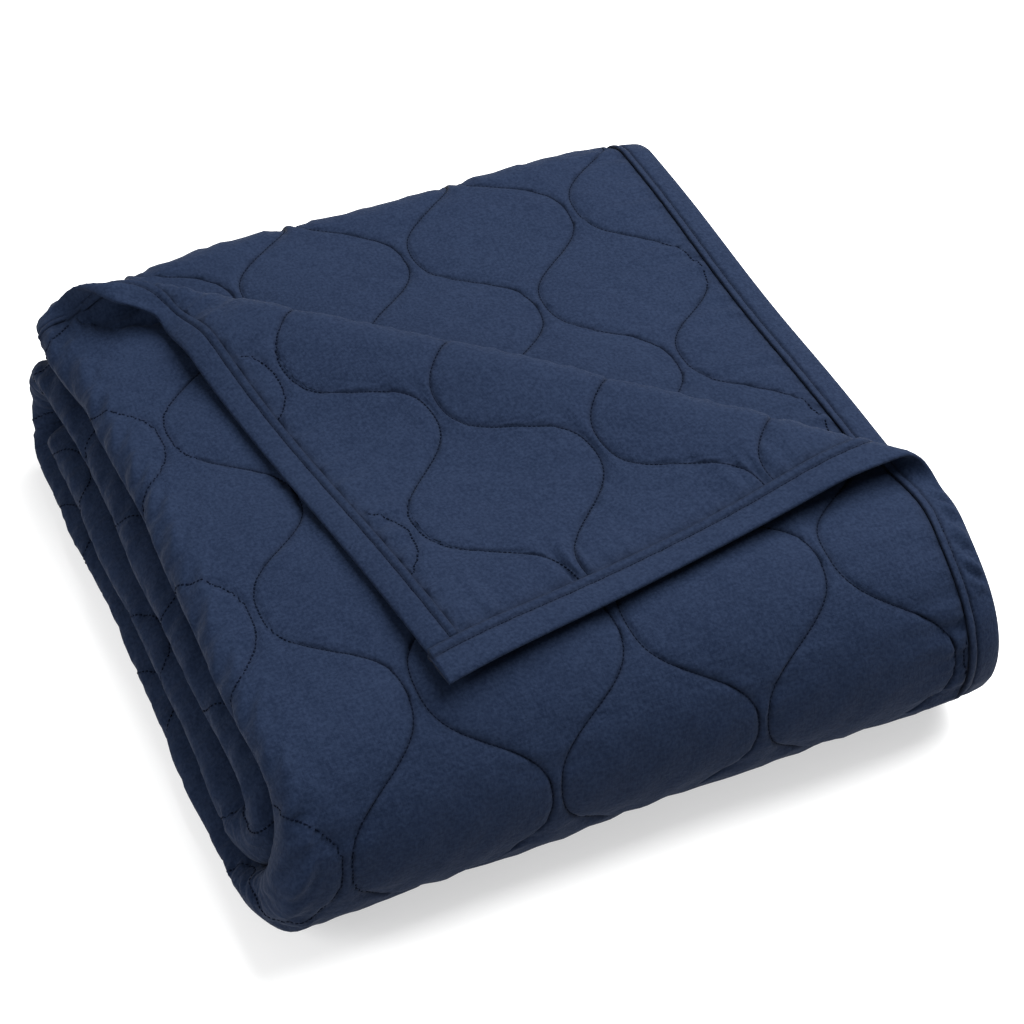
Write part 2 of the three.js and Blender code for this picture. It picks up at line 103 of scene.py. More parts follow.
innerRun = stack["run"] - stack["innerShort"]
path = layOut([  # v along the roll, seen from its right end
    ("secondLayer", innerRun, 0, 0, 1),
    ("frontInnerFold", 0, -180, layer / 2, stack["nose"]),
    ("thirdLayer", stack["run"], 0, 0, 1),
    ("backFold", 0, -180, layer, 1),
    ("bottomLayer", stack["run"], 0, 0, 1),
    ("frontFold", 0, -180, 1.5 * layer, stack["nose"]),
    ("topLayer", stack["topRun"], 0, 0, 1),
    ("backEdge", 0, -stack["backTurn"], stack["backRadius"], 1),
    ("looseEnd", stack["looseEnd"], 0, 0, 1),
], stack["frontY"] + innerRun, lowestLevel + layer, outerPly)
shoulder = next(leg["start"] for leg in path if leg["name"] == "topLayer")
for leg in path:
    leg["start"] -= shoulder
legStart = {leg["name"]: leg["start"] for leg in path}
firstV = path[0]["start"]
lastV = path[-1]["start"] + path[-1]["length"]
frontV = legStart["frontFold"]

section = layOut([  # s across the cloth, from the outer ply's bound edge
    ("ply1", edgeX - leftX, 0, 0, 1),
    ("outerLeftFold", 0, 180, outerPly, 1),
    ("ply4", rightX - leftX, 0, 0, 1),
    ("rightFold", 0, 180, stack["plyPitch"] / 2, 1),
    ("ply3", rightX - leftX, 0, 0, 1),
    ("innerLeftFold", 0, -180, stack["plyPitch"] / 2, 1),
    ("ply2", edgeX - leftX, 0, 0, 1),
], edgeX, outerPly, 0)
partStart = {part["name"]: part["start"] for part in section}
totalS = section[-1]["start"] + section[-1]["length"]
foldS = partStart["outerLeftFold"]
foldEndS = partStart["ply4"]


# The corner that is turned back, as a roll about a slanting fold line

turned = {
    "landing": (-150.0, -17.0),  # where the corner would lie, across and along the outer ply
    "endV": 474.0,  # bound end of the outer ply
    "rollLeft": 16.0,
    "rollRight": 13.0,
    "rest": 12.0,  # above the ply that it lies on
    "skew": 0.085,  # how far the cloth is pulled out of square
    "drawIn": 8.0,  # its bound end is drawn in at the middle
    "drawReach": 150.0,
    "drawSpan": 540.0,
    "hem": 30.0,  # at the left the bound end is turned over like a cuff
    "cuffRise": 21.0,
    "cuffDroop": 13.0,
    "cuffFrom": (130.0, 215.0),
    "cuffTo": (215.0, 278.0),  # it falls to the folded edge like an arch
    "archPower": 0.8,
    "slump": 14.0,  # and lies lower where the corner leaves it
    "slumpFrom": (80.0, 140.0),
    "slumpTo": (180.0, 240.0),
    "unroll": 58.0,  # it opens again round the folded edge
    "unrollFrom": (-50.0, 26.0),
    "slant": (22.0, 90.0),  # past the fold the bound end slants to the back
    "bend": 14.0,  # how softly the two fold lines meet
    "settle": 60.0,
    "cornerLift": 6.0,
    "cornerReach": 80.0,
    "overhang": 0.78,  # it lies further out than the ply past the front shoulder
    "edgeCurl": 5.0,  # its bound side lifts a little
    "edgeReach": 36.0,
    "edgeRise": 50.0,
}
corner = np.array([edgeX, turned["endV"]])
landing = np.array(turned["landing"])
foldMiddle = (corner + landing) / 2
cornerReach = np.linalg.norm(corner - foldMiddle)
outward = (corner - landing) / (2 * cornerReach)
alongFold = np.array([outward[1], -outward[0]])
foldLeft = -cornerReach * outward[1] / outward[0]
foldRight = cornerReach * outward[0] / outward[1]
rollSlope = (turned["rollRight"] - turned["rollLeft"]) / (foldRight - foldLeft)
rollMiddle = turned["rollLeft"] - rollSlope * foldLeft


def toFold(x, v):
    dx, dv = x - foldMiddle[0], v - foldMiddle[1]
    return dx * alongFold[0] + dv * alongFold[1], dx * outward[0] + dv * outward[1]


def rollRadius(a):
    return rollMiddle + rollSlope * a


def halfRoll(a):  # from the fold line to where the roll leaves the flat ply
    return rollRadius(a) * math.pi / 2


def flapHeight(a, d):
    past = (d - halfRoll(a)) / turned["settle"]
    toCorner = np.hypot(a, d - cornerReach) / turned["cornerReach"]
    rest = turned["rest"]
    height = rest + (2 * rollRadius(a) - rest) * np.exp(-past * past)
    return height + turned["cornerLift"] * np.exp(-toCorner * toCorner)


def smooth(value, low, high):
    t = np.clip((value - low) / (high - low), 0, 1)
    return t * t * (3 - 2 * t)


def between(value, rise, fall):  # 1 from the end of its rise to the start of its fall
    return smooth(value, *rise) * (1 - smooth(value, *fall))


slantS = foldS + turned["slant"][0]
slantEndS = foldEndS + turned["slant"][1]
endEdge = np.array([
    [0, turned["endV"]],
    [slantS, turned["endV"]],
    [slantEndS, lastV],
    [totalS, lastV],
])


def endAt(s):
    return np.interp(s, endEdge[:, 0], endEdge[:, 1])


def drawnIn(x, v):
    share = np.clip((edgeX - x) / turned["drawSpan"], 0, 1)
    near = (turned["endV"] - v) / turned["drawReach"]
    onFlap = smooth(toFold(x, v)[1], 0, turned["settle"])
    return turned["drawIn"] * 4 * share * (1 - share) * np.exp(-near * near) * onFlap


def foldPlace(s, v):  # place along the fold line, distance past it and the flat direction across it
    a, slanting = toFold(edgeX - s, v)
    low, high = turned["unrollFrom"]
    hemLine = endAt(s) - turned["hem"] + turned["unroll"] * smooth(s, foldS + low, foldS + high)
    soft = turned["bend"]
    d = soft * np.logaddexp(slanting / soft, (v - hemLine) / soft)
    share = np.exp((slanting - d) / soft)
    acrossX, acrossV = share * outward[0], share * outward[1] + 1 - share
    size = np.hypot(acrossX, acrossV)
    return a, d, acrossX / size, acrossV / size


def turnBack(s, v, b):
    v = v - drawnIn(edgeX - s, v)
    a, d, acrossX, acrossV = foldPlace(s, v)
    radius, half = rollRadius(a), halfRoll(a)
    angle = np.clip((d + half) / radius, 0, math.pi)
    across = np.where(d <= -half, d, np.where(d >= half, -d, (radius - b) * np.sin(angle) - half))
    rolled = radius - (radius - b) * np.cos(angle)
    lift = np.where(d <= -half, b, np.where(d >= half, flapHeight(a, d) - b, rolled))
    leftward, overHem = s - edgeX, smooth(d, 0, turned["hem"])
    cuff = turned["cuffRise"] * (1 - np.cos(angle)) / 2 - turned["cuffDroop"] * overHem
    lift = lift + cuff * smooth(leftward, *turned["cuffFrom"])
    lift = lift - turned["slump"] * between(leftward, turned["slumpFrom"], turned["slumpTo"]) * overHem
    edge = 1 - np.clip(s / turned["edgeReach"], 0, 1)
    lift = lift + turned["edgeCurl"] * edge * edge * smooth(d, half, half + turned["edgeRise"])
    low, high = turned["cuffTo"]
    fallen = np.clip((leftward - low) / (high - low), 0, 1)
    lift = b + (lift - b) * (1 - fallen * fallen) ** turned["archPower"]
    pulled = turned["skew"] * np.maximum(d - half, 0)
    move = across - d
    newS = s - move * acrossX - pulled * alongFold[0]
    newV = v + move * acrossV + pulled * alongFold[1]
    return newS, np.where((d > 0) & (newV < 0), newV * turned["overhang"], newV), lift


def rollStart(value, axis):  # where the roll leaves the flat ply: v for an x on axis 0, x for a v on axis 1
    slope = outward + rollSlope * math.pi / 2 * alongFold
    rise = slope[axis] * (value - foldMiddle[axis]) + rollMiddle * math.pi / 2
    return float(foldMiddle[1 - axis] - rise / slope[1 - axis])


curlV = rollStart(edgeX, 0)


# Small unevenness of the whole stack, the same for everything that lies in it

settling = {
    "height": 0.012,  # share of the height by which the layers lie unevenly
    "heightPitch": (150.0, 170.0),
    "heightWaves": ((3.1, 0.7), (2.3, -0.4)),  # turns in a pitch and phase, across and along
    "slantWaves": (1.7, 4.1, 0.6),  # turns across and along, and their share
    "lean": 25.0,  # how far the top left folds are drawn in
    "spread": 4.0,  # and the lowest pressed out
    "leanHeight": (30.0, 165.0),
    "leanPower": 4,
    "cornerLean": 0.4,  # share of it that is lost at the back corner
    "cornerFrom": (0.45, 0.75),  # places such as this one are shares of half the width
    "backPull": 12.0,  # the layers under the cuff end sooner
    "pullFrom": (0.8, 1.05),
    "pullSide": (0.3, 0.75),
    "curlBulge": 10.0,  # the bound edge stands out where it turns over
    "curlY": -208.0,
    "curlReach": 40.0,
    "curlSide": (0.5, 1.0),
    "curlHeight": (120.0, 180.0),
    "tail": 12.0,  # the end that hangs behind the left folds is drawn in
    "tailFrom": (0.985, 1.03),
    "tailTopFrom": (0.88, 1.02),  # its upper part from further forward
    "tailTopHeight": (110.0, 135.0),
    "tailSide": (0.6, 1.0),
    "tuck": 9.0,  # a folded edge draws in below
    "tuckFrom": 200.0,
    "nose": 2.0,  # and stands out at the top of its layer
    "noseAt": 11.0,
    "noseWidth": 5.0,
    "leftWave": 1.6,  # how far the folded edges wander
    "leftPitch": ((52.0, 19.0), (21.0, -11.0)),  # along and up, of its long and short waves
    "leftShort": (0.5, 1.3),  # share and phase of the short ones
    "leftReach": 90.0,
    "frontWave": 1.5,
    "frontPitch": (145.0, 60.0),
    "frontTurns": 2.2,
    "frontReach": 100.0,
    "nearCorner": 13.0,  # the left end of the front fold lies further out
    "nearFrom": (1 / 3, 1.0),
    "farCorner": (5.0, 8.0),  # and the right end of the back edge
}


def ramp(value, shares):
    return smooth(value, shares[0] * halfWidth, shares[1] * halfWidth)


def bell(value, middle, reach):
    return np.exp(-(((value - middle) / reach) ** 2))


def uneven(x, y):
    pitchX, pitchY = settling["heightPitch"]
    (turnsX, phaseX), (turnsY, phaseY) = settling["heightWaves"]
    waves = np.sin(x / pitchX * turnsX + phaseX) * np.cos(y / pitchY * turnsY + phaseY)
    turnsX, turnsY, share = settling["slantWaves"]
    return waves + share * np.sin(y / pitchY * turnsY + x / pitchX * turnsX)


def settle(x, y, z):
    t = settling
    leftSide = smooth(-x, halfWidth - t["leftReach"], halfWidth)
    (longY, longZ), (shortY, shortZ) = t["leftPitch"]
    share, phase = t["leftShort"]
    wander = np.sin(y / longY + z / longZ) + share * np.sin(y / shortY + z / shortZ + phase)
    drawn = t["lean"] * smooth(z, *t["leanHeight"])
    drawn = drawn * (1 - t["cornerLean"] * ramp(y, t["cornerFrom"])) - t["spread"]
    lean = drawn * np.clip(-x / halfWidth, 0, 1) ** t["leanPower"]
    curl = t["curlBulge"] * bell(y, t["curlY"], t["curlReach"])
    curl = curl * ramp(x, t["curlSide"]) * smooth(z, *t["curlHeight"])
    tailTop = ramp(y, t["tailTopFrom"]) * smooth(z, *t["tailTopHeight"])
    tail = t["tail"] * np.maximum(tailTop, ramp(y, t["tailFrom"])) * ramp(-x, t["tailSide"])
    frontSide = smooth(-y, -stack["frontY"], -stack["frontY"] + t["frontReach"])
    pitchX, pitchZ = t["frontPitch"]
    bulge = np.sin(x / pitchX * t["frontTurns"] + z / pitchZ)
    near = t["nearCorner"] * ramp(-y, t["nearFrom"]) * np.clip(0.5 - x / stack["width"], 0, 1)
    far = smooth(x, 0, halfWidth) * smooth(y, 0, halfWidth)
    pull = t["backPull"] * ramp(y, t["pullFrom"]) * ramp(-x, t["pullSide"])
    newX = x + t["leftWave"] * leftSide * wander + lean + t["farCorner"][0] * far + curl + tail
    newY = y + t["frontWave"] * frontSide * bulge - near + t["farCorner"][1] * far - pull
    return newX, newY, z * (1 + t["height"] * uneven(x, y))


def tucked(x, upward):
    leftSide = smooth(-x, settling["tuckFrom"], -leftX)
    outwards = bell(upward, settling["noseAt"], settling["noseWidth"])
    inwards = smooth(-upward, -settling["noseAt"], outerPly)
    return leftSide * (settling["tuck"] * inwards - settling["nose"] * outwards)


def spread(*values):
    return np.broadcast_arrays(*(np.asarray(value, float) for value in values))


def place(s, v, b):  # any point of the cloth, in metres, from its flat place and height off the ply's middle
    s, v, b = spread(s, v, b)
    shape = s.shape
    s, v, lift = turnBack(s.ravel(), v.ravel(), b.ravel())
    within = np.clip(lift, -stack["plyPitch"], stack["plyPitch"] / 2)
    x, n, headings = follow(section, s, within)
    out = n + lift - within
    y, z, headings = follow(path, v, -out)
    x = x + tucked(x, out * np.cos(headings))
    sag = 1 - stack["sideSag"] * np.abs(2 * x / stack["width"]) ** stack["sidePower"]
    points = np.stack(settle(x, y, np.maximum(z, 0) * sag), axis=-1)
    return (points * mm).reshape(*shape, 3)


# Quilting: wavy stitched lines along the length, each the mirror of its neighbour

quilting = {
    "outer": {"start": 637.4, "neck": -117.0, "pitch": 80.5, "wave": 199.5, "swing": 36.7},
    "second": {"start": totalS - 212.5, "neck": 426.7, "pitch": 73.5, "wave": 201.0, "swing": -33.2},
    "flap": {"start": 292.0, "neck": 28.7, "pitch": 86.7, "wave": 187.3, "swing": 39.3},  # runs across
    "fullness": 0.07,  # how much rounder than a plain wave the lines swing
    "lineHalf": 2.2,  # half of the cloth's thickness at a stitched line
    "ditchRise": 2.1,
    "ditchWidth": 2.0,
    "crownRise": 2.2,
    "crownReach": 42.0,
    "meanCrown": 0.6,  # share of the crown in a puff's mean height
    "foldRelief": 0.65,  # share of the relief that is left round a fold
    "foldBlend": (-14.0, 8.0),
    "hiddenHalf": 4.6,  # where plies lie on each other
    "seam": 25.4,  # where the cloth comes out from under a binding
    "bandHalf": 1.0,  # half of its thickness under it
    "seamSlope": 0.4,  # how slowly it rises from there
    "pucker": 1.1,
    "puckerReach": 10.0,
    "puckerFrom": 2.0,
    "seamPucker": 2.3,
    "seamReach": 24.0,
    "seamFar": 60.0,  # further in, puckers lie across the cloth
    "drift": (0.9, 60.0),
    "ripplePitch": (2.3, 7.7, 4.6),
    "rippleDrift": 1.9,
    "rippleShare": 0.6,
    "foldWrinkle": 3.0,
    "wrinklePitch": (5.3, 13.1),
    "wrinkleLean": (1.4, -0.6),
    "wrinkleDrift": ((1.7, 41.0), (1.0, 17.0)),
    "loft": 0.7,  # soft unevenness of the puffs
    "loftFrom": 12.0,
    "loftPitch": (6.1, 9.7),
    "loftDrift": ((1.3, 23.0), (1.1, 31.0)),
    "fade": 60.0,  # length over which the puffs grow above the floor
    "foldPower": 0.6,
    "turnFade": 12.0,  # and at the turned-back corner
    "flapFade": 30.0,
    "curlFade": 20.0,
    "curlLead": 60.0,
}


def lineTurn(pattern, along):
    return 2 * math.pi * (along - pattern["neck"]) / pattern["wave"]


def linePlace(pattern, j, along):  # how far across the cloth line j lies
    mirror = 1 - 2 * (j % 2)
    turn, full = lineTurn(pattern, along), quilting["fullness"]
    swing = pattern["swing"] * (np.cos(turn) - full * np.cos(3 * turn)) / (1 - full)
    return pattern["start"] + pattern["pitch"] * j + mirror * swing


def linesBetween(pattern, low, high):
    first, last = ((edge - pattern["start"]) / pattern["pitch"] for edge in (low, high))
    return range(math.floor(first) - 1, math.ceil(last) + 2)


def nearestLine(pattern, across, along):
    turn, full = lineTurn(pattern, along), quilting["fullness"]
    turning = (np.sin(turn) - 3 * full * np.sin(3 * turn)) / (1 - full)
    steep = np.hypot(1, pattern["swing"] * 2 * math.pi / pattern["wave"] * turning)
    near = np.floor((across - pattern["start"]) / pattern["pitch"])
    gaps = [np.abs(across - linePlace(pattern, near + step, along)) / steep for step in (-1, 0, 1, 2)]
    return np.min(gaps, axis=0)


def pastRoll(s, v):  # distance past where the roll leaves the flat ply
    a, d = foldPlace(s, v)[:2]
    return d + halfRoll(a)


def secondPast(s, v):  # the second ply, past the fold line above it
    return toFold(edgeX - (totalS - s), v)[1]


def inFlap(s, v):
    return (s < foldEndS) & (pastRoll(s, v) > 0)


def sideDistance(s):
    return np.minimum(s, totalS - s)


def lineDistance(s, v):
    outer = nearestLine(quilting["outer"], s, v)
    second = nearestLine(quilting["second"], s, v)
    flap = nearestLine(quilting["flap"], v, s)
    return np.where(s >= totalS / 2, second, np.where(inFlap(s, v), flap, outer))


def edgeDistance(s, v):
    distance = sideDistance(s)
    for (s0, v0), (s1, v1) in zip(endEdge[:-1], endEdge[1:]):
        ds, dv = s1 - s0, v1 - v0
        t = np.clip(((s - s0) * ds + (v - v0) * dv) / (ds * ds + dv * dv), 0, 1)
        distance = np.minimum(distance, np.hypot(s - s0 - t * ds, v - v0 - t * dv))
    return distance


def openness(s, v, side):  # 1 where a face is free to puff up, 0 where it lies on another
    q = quilting
    fade = q["fade"]
    backStart, backEnd = legStart["backFold"], legStart["bottomLayer"]
    atBack = between(v, (backStart - fade, backStart), (backEnd - fade, backEnd))
    shown = np.maximum(smooth(v, frontV, frontV + fade), atBack)
    share = np.clip((s - foldS) / (foldEndS - foldS), 0, 1)
    bulge = np.sin(math.pi * share) ** q["foldPower"]
    onFold = (s >= foldS) & (s <= foldEndS)
    fold = bulge + (np.where(share < 0.5, 1.0, bulge) - bulge) * shown
    past = pastRoll(s, v)
    unturned = 1 - smooth(past, 0, q["turnFade"])
    upper = np.where(s < foldS, shown * unturned, np.where(onFold, fold * unturned, 0.0))
    uncovered = smooth(secondPast(s, v), 0, q["turnFade"]) * smooth(v, curlV - q["curlFade"], curlV)
    flap = smooth(past, 0, q["flapFade"]) * (v > curlV - q["curlLead"])
    lower = np.where(s < foldEndS, flap, np.where(s > partStart["ply2"], uncovered, 0.0))
    return np.where(side > 0, upper, lower)


def ripple(value, drift):  # uneven waves, always the same
    short, long, middle = quilting["ripplePitch"]
    waves = np.sin(value / short + drift) * np.sin(value / long + quilting["rippleDrift"] * drift)
    return waves + quilting["rippleShare"] * np.sin(value / middle - drift)


def crossed(first, second, s, v, pitch, drift):  # two crossing sets of waves that drift sideways
    (swing, reach), (secondSwing, secondReach) = drift
    waves = np.sin(first / pitch[0] + swing * np.sin(v / reach))
    return waves * np.sin(second / pitch[1] + secondSwing * np.sin(s / secondReach))


def clothHalf(s, v, side):  # from the middle of the ply to its face
    q = quilting
    seam = edgeDistance(s, v) - q["seam"]
    line = lineDistance(s, v)
    near = np.minimum(line, np.maximum(seam, 0) * q["seamSlope"])
    ditch = 1 - np.exp(-near / q["ditchWidth"])
    crown = 1 - (1 - np.minimum(near / q["crownReach"], 1)) ** 2
    relief = q["ditchRise"] * ditch + q["crownRise"] * crown
    low, high = q["foldBlend"]
    onFold = between(s, (foldS + low, foldS + high), (foldEndS - high, foldEndS - low))
    keep = 1 - (1 - q["foldRelief"]) * onFold
    full = q["ditchRise"] + q["meanCrown"] * q["crownRise"]
    half = q["lineHalf"] + full + (relief - full) * keep
    toSide = (sideDistance(s) < endAt(s) - v) | (seam > q["seamFar"])
    swing, reach = q["drift"]
    folds = ripple(np.where(toSide, v, s), swing * np.sin(np.where(toSide, s, v) / reach))
    atLine = q["pucker"] * np.exp(-line / q["puckerReach"])
    atSeam = q["seamPucker"] * np.exp(-np.maximum(seam, 0) / q["seamReach"])
    lean, backLean = q["wrinkleLean"]
    slant = crossed(v + lean * s, v + backLean * s, s, v, q["wrinklePitch"], q["wrinkleDrift"])
    wrinkle = folds * (atLine + atSeam) * smooth(near, 0, q["puckerFrom"]) + q["foldWrinkle"] * onFold * slant
    loft = q["loft"] * crossed(s, v, s, v, q["loftPitch"], q["loftDrift"])
    free = openness(s, v, side)
    half = half + free * (wrinkle + loft * smooth(near, 0, q["loftFrom"]))
    half = half - (1 - free) * np.maximum(half - q["hiddenHalf"], 0)
    return np.where(seam > 0, half, q["bandHalf"])


def surface(s, v, side, proud=0.0):
    s, v, side = spread(s, v, side)
    return place(s, v, side * (clothHalf(s, v, side) + proud))


# Mesh helpers

def put(name, data):  # an object in the scene
    thing = bpy.data.objects.new(name, data)
    bpy.context.scene.collection.objects.link(thing)
    return thing


def newPiece(name, points, faces, material):
    mesh = bpy.data.meshes.new(name)
    mesh.from_pydata(points, [], faces)
    mesh.validate()
    mesh.shade_smooth()
    piece = put(name, mesh)
    mesh.materials.append(material)
    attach(piece, "root")
    print(name, len(mesh.vertices), "points", sum(len(p.vertices) - 2 for p in mesh.polygons), "triangles")
    return piece


def bridge(first, firstU, second, secondU):  # triangles between two rows of points in step by u
    faces = []
    i = j = 0
    while i < len(first) - 1 or j < len(second) - 1:
        stepFirst = j == len(second) - 1 or (i < len(first) - 1 and firstU[i + 1] <= secondU[j + 1])
        third = first[i + 1] if stepFirst else second[j + 1]
        faces.append((first[i], second[j], third))
        if stepFirst:
            i += 1
        else:
            j += 1
    return faces


# Materials

class Wire:  # a shader value that can be used in sums
    def __init__(self, finish, socket):
        self.finish, self.socket = finish, socket

    def sum(self, operation, first, second):
        return self.finish.add("ShaderNodeMath", {"operation": operation}, {0: first, 1: second})

    def __add__(self, other):
        return self.sum("ADD", self, other)

    def __radd__(self, other):
        return self.sum("ADD", other, self)

    def __sub__(self, other):
        return self.sum("SUBTRACT", self, other)

    def __rsub__(self, other):
        return self.sum("SUBTRACT", other, self)

    def __mul__(self, other):
        return self.sum("MULTIPLY", self, other)

    def __rmul__(self, other):
        return self.sum("MULTIPLY", other, self)


class Finish:
    def __init__(self, name, constants):
        self.material = bpy.data.materials.new(name)
        self.material.use_nodes = True
        self.nodes = self.material.node_tree.nodes
        self.links = self.material.node_tree.links
        self.shader = self.nodes["Principled BSDF"]
        for socket, value in constants.items():
            self.shader.inputs[socket].default_value = value

    def add(self, kind, settings=None, inputs=None, output=0):
        node = self.nodes.new(kind)
        for key, value in (settings or {}).items():
            setattr(node, key, value)
        for key, value in (inputs or {}).items():
            self.feed(node.inputs[key], value)
        return Wire(self, node.outputs[output])

    def feed(self, socket, value):
        if isinstance(value, Wire):
            self.links.new(value.socket, socket)
        else:
            socket.default_value = value

    def set(self, socket, value):
        self.feed(self.shader.inputs[socket], value)

    def mix(self, factor, first, second):
        first, second = (one if isinstance(one, Wire) else (*one, 1) for one in (first, second))
        return self.add("ShaderNodeMix", {"data_type": "RGBA"}, {0: factor, 6: first, 7: second}, 2)

    def position(self):
        return self.add("ShaderNodeTexCoord", output="Object")

    def stretch(self, vector, scale):
        return self.add("ShaderNodeVectorMath", {"operation": "MULTIPLY"}, {0: vector, 1: scale})

    def near(self, name, reach):  # 1 where a stored distance is nothing, falling off over its reach
        gap = self.add("ShaderNodeAttribute", {"attribute_name": name}, None, 2)
        return self.add("ShaderNodeMath", {"operation": "EXPONENT"}, {0: gap * (-1 / reach)})

    def noise(self, vector, scale, detail=2.0):
        return self.add("ShaderNodeTexNoise", None, {"Vector": vector, "Scale": scale, "Detail": detail})


clothFinish = {
    "navy": (0.0033, 0.0077, 0.0211),
    "navyLight": (0.0078, 0.0142, 0.0325),
    # painted shade: the darker navy laid into the stitched ditches and seams
    "paintedShadeNavy": (0.0010, 0.0022, 0.0062),
    "roughness": 0.88,
    "roughnessRange": 0.12,  # how far the threads change it
    "specular": 0.08,
    "sheen": 0.02,
    "sheenRoughness": 0.45,
    "sheenTint": (0.62, 0.72, 1.0, 1.0),
    "threadPitch": 0.0011,
    "slubLength": 9.0,  # as a share of the pitch
    "grain": 0.0003,
    "threadTone": 0.4,
    "nap": ((14.0, 0.15), (120.0, 0.12), (430.0, 0.73)),  # scales of the brushed patches and their shares
    "napDetail": 3.0,
    "puckerDetail": 1.0,
    "toneRange": (0.57, 0.83),
    "ditchShade": 0.58,
    "ditchReach": 0.0013,
    "crinkle": ((300.0, 0.0006), (60.0, 0.0010)),  # scales and heights of the small unevenness
    "linePucker": (110.0, 0.0014, 0.008),  # scale, height and reach round the quilting
    "seamPucker": (12.0, 75.0, 0.0044, 0.022),  # scales along and across the pleats, height and reach
}


def napped(name):  # brushed microfibre, with painted shade: a darker line in the ditch where it is stitched down
    f = clothFinish
    finish = Finish(name, {
        "Sheen Weight": f["sheen"],
        "Sheen Roughness": f["sheenRoughness"],
        "Sheen Tint": f["sheenTint"],
        "Specular IOR Level": f["specular"],
    })
    flat = finish.add("ShaderNodeUVMap", {"uv_map": "flatCloth"})
    spot = finish.position()
    count = 1 / f["threadPitch"]
    warp = finish.noise(finish.stretch(flat, (count, count / f["slubLength"], 1)), 1.0)
    weft = finish.noise(finish.stretch(flat, (count / f["slubLength"], count, 1)), 1.0)
    threads = (warp + weft) * 0.5
    tone = threads * f["threadTone"]
    for scale, share in f["nap"]:
        tone = tone + finish.noise(spot, scale, f["napDetail"]) * share
    low, high = f["toneRange"]
    lift = finish.add("ShaderNodeMapRange", None, {"Value": tone, "From Min": low, "From Max": high})
    colour = finish.mix(lift, f["navy"], f["navyLight"])
    # painted shade: the colour is mixed towards a darker navy near stitched lines and seams, standing in for
    # the shadow in their ditches
    shade = finish.near("stitchDistance", f["ditchReach"]) * f["ditchShade"]
    finish.set("Base Color", finish.mix(shade, colour, f["paintedShadeNavy"]))
    finish.set("Roughness", f["roughness"] + (threads - 0.5) * f["roughnessRange"])
    relief = threads * f["grain"]
    for scale, height in f["crinkle"]:
        relief = relief + finish.noise(spot, scale, f["napDetail"]) * height
    scale, height, reach = f["linePucker"]
    puckers = finish.noise(spot, scale, f["puckerDetail"])
    relief = relief + puckers * finish.near("stitchDistance", reach) * height
    long, short, height, reach = f["seamPucker"]
    for gap, scales in (("sideGap", (long, short, 1)), ("endGap", (short, long, 1))):
        pleats = finish.noise(finish.stretch(flat, scales), 1.0, f["puckerDetail"])
        relief = relief + pleats * finish.near(gap, reach) * height
    bump = {"Distance": 1.0, "Height": relief, "Strength": 1.0}
    finish.set("Normal", finish.add("ShaderNodeBump", None, bump))
    return finish.material


threadFinish = {
    # darker than the cloth: the thread's own navy with painted shade of the stitch holes that it sinks into
    "colour": (0.0008, 0.0020, 0.0064),
    "light": (0.0016, 0.0040, 0.0124),
    "twist": 900.0,
    "roughness": 0.6,
    "roughnessRange": 0.2,
    "specular": 0.03,
}


def spunThread():
    f = threadFinish
    finish = Finish("stitch_thread", {"Specular IOR Level": f["specular"]})
    twist = finish.noise(finish.position(), f["twist"])
    finish.set("Base Color", finish.mix(twist, f["colour"], f["light"]))
    finish.set("Roughness", f["roughness"] + twist * f["roughnessRange"])
    return finish.material


quiltedNavy = napped("quilted_navy")
bindingNavy = napped("binding_navy")
navyThread = spunThread()
print("materials ready")


# The quilted cloth: rings across it, from the roll's inner end to the bound end

clothMesh = {
    "rowStep": 4.5,  # where it shows
    "endRowStep": 6.0,
    "hiddenRowStep": 9.0,
    "slantV": 380.0,  # rows begin to slant towards the bound end here
    "lineSteps": 20,  # columns from one stitched line to the next
    "foldGap": 2.8,  # round the left folds
    "leftReach": 46.0,
    "cluster": 0.78,  # how closely columns gather at a stitched line
    "widest": 12.0,  # between columns where the cloth shows
    "rollGap": 3.2,  # and where it rolls over
    "rollReach": 78.0,
    "flapGap": 5.5,
    "flapFade": 150.0,
    "endFade": 80.0,
    "coarse": 72.0,
    "closest": (0.05, 0.3),  # columns nearer than this are left out, first in a ply and then in a ring
    "lineGap": 2.0,
    "bandColumns": (0.0, 9.0, 18.0),  # under a binding
    "seamColumns": (25.0, 25.8, 27.5, 30.5, 35.0),  # and where the cloth comes out from under it
    "foldSteps": 8,
    "foldLead": 8.0,  # fine columns before and after the left folds
    "foldTail": 12.0,
    "foldPleats": 14.0,  # half of the width that is puckered round them
    "shownLead": 30.0,  # fine rows before the front folds
    "backShown": (-40.0, 10.0),  # and round the back fold
    "rollBehind": 90.0,  # columns past the roll's start, on the side that it hides
    "rollAhead": 14.0,  # and on the side that it shows
    "curlLead": (4.0, 12.0),  # on the first ply and the second
    "flapRoom": (4.0, 8.0),  # left beside the fold and the binding
}
shownV = frontV - clothMesh["shownLead"]
bandEnd = clothMesh["seamColumns"][-1]


def rowPlace(s, w):  # v of a row, which slants where the end of the cloth does
    start = clothMesh["slantV"]
    slanted = start + (w - start) * (endAt(s) - start) / (lastV - start)
    return np.where(w <= start, w, slanted)


def gathered(t):  # closer together at a stitched line
    return t - clothMesh["cluster"] / (2 * math.pi) * np.sin(2 * math.pi * t)


def flapRows(s, v):  # rows of the turned-back face follow its stitched lines
    pattern = quilting["flap"]
    t = (v - pattern["start"]) / pattern["pitch"]
    j = np.floor(t)
    near, far = linePlace(pattern, j, s), linePlace(pattern, j + 1, s)
    lined = near + (far - near) * gathered(t - j)
    endSeam = turned["endV"] - quilting["seam"]
    share = smooth(pastRoll(s, v), -clothMesh["flapFade"], 0) * smooth(s, 0, quilting["seam"])
    return v + share * (1 - smooth(v, endSeam - clothMesh["endFade"], endSeam)) * (lined - v)


